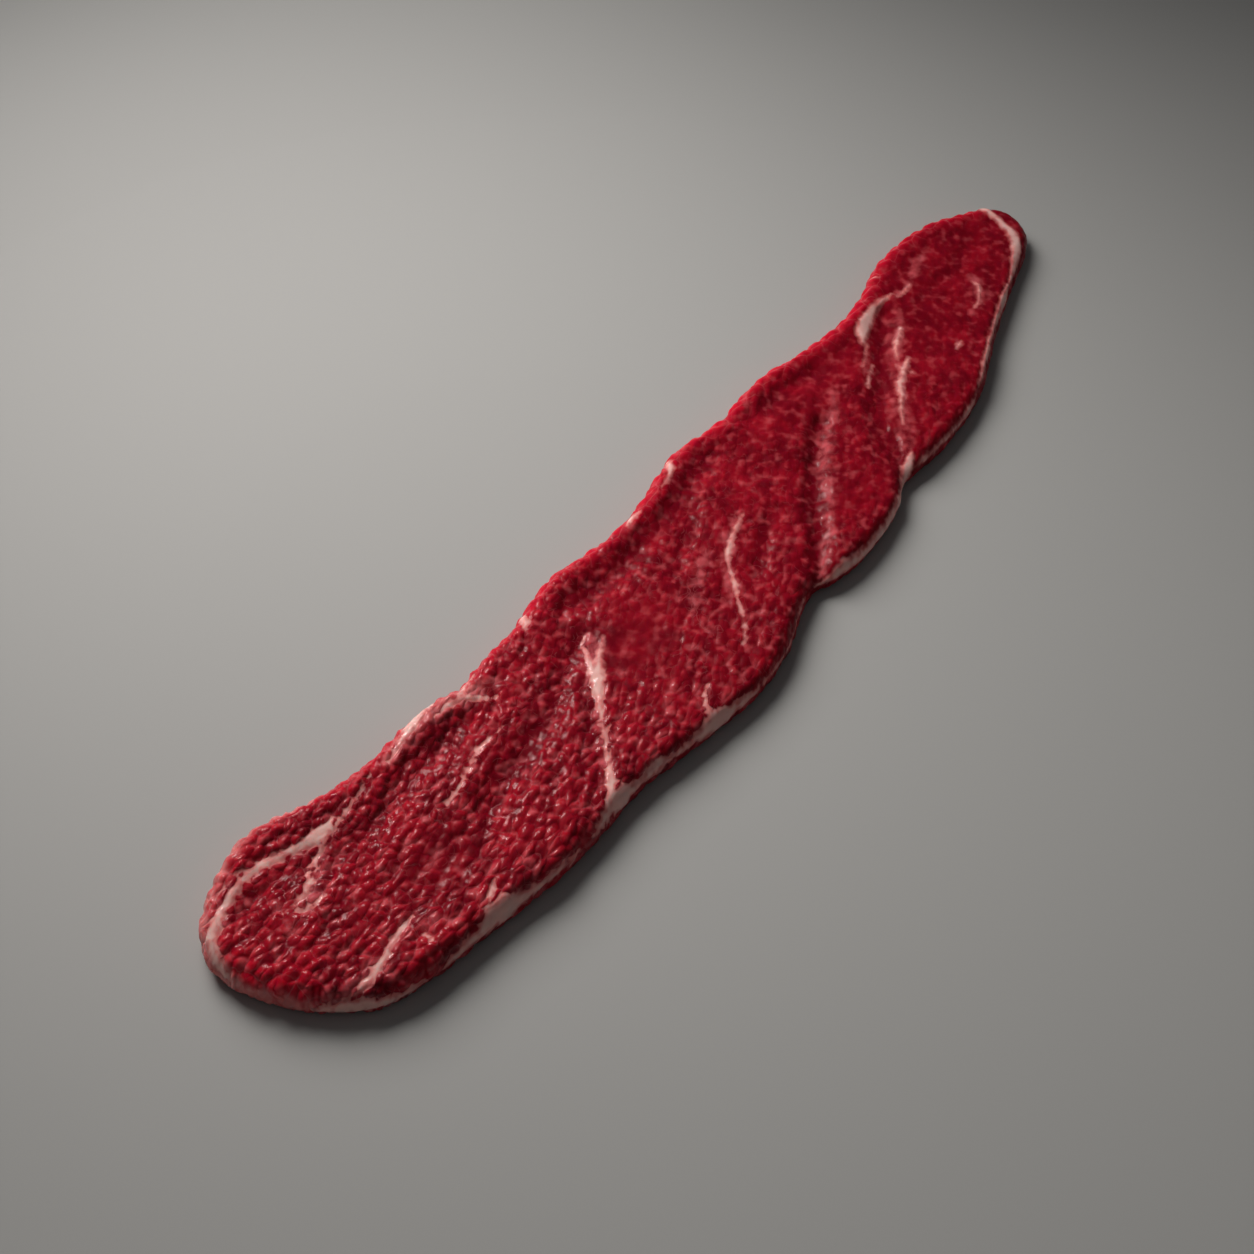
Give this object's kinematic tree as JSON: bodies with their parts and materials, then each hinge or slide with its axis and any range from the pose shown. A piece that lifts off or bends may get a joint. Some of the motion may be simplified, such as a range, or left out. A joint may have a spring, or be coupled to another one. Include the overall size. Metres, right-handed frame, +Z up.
{
  "type": "raw beef steak",
  "caption": "Long thin strip of raw red beef with slanting folds, pebbled muscle grain, pale fat streaks and a flat underside.",
  "frame": {"origin": "middle of the strip's bounding box seen from above, on the flat underside that it lies on", "axes": "+X along the strip from its wide round end to its narrow end, +Y across it to the side with the proud edge, +Z up out of the shown face"},
  "size_m": [0.4702, 0.0984, 0.0128],
  "materials": {
    "meat": "wet raw muscle, dark red, with thin cream-pink fat"
  },
  "bodies": {
    "root": {"steak": "meat"}
  },
  "joints": []
}
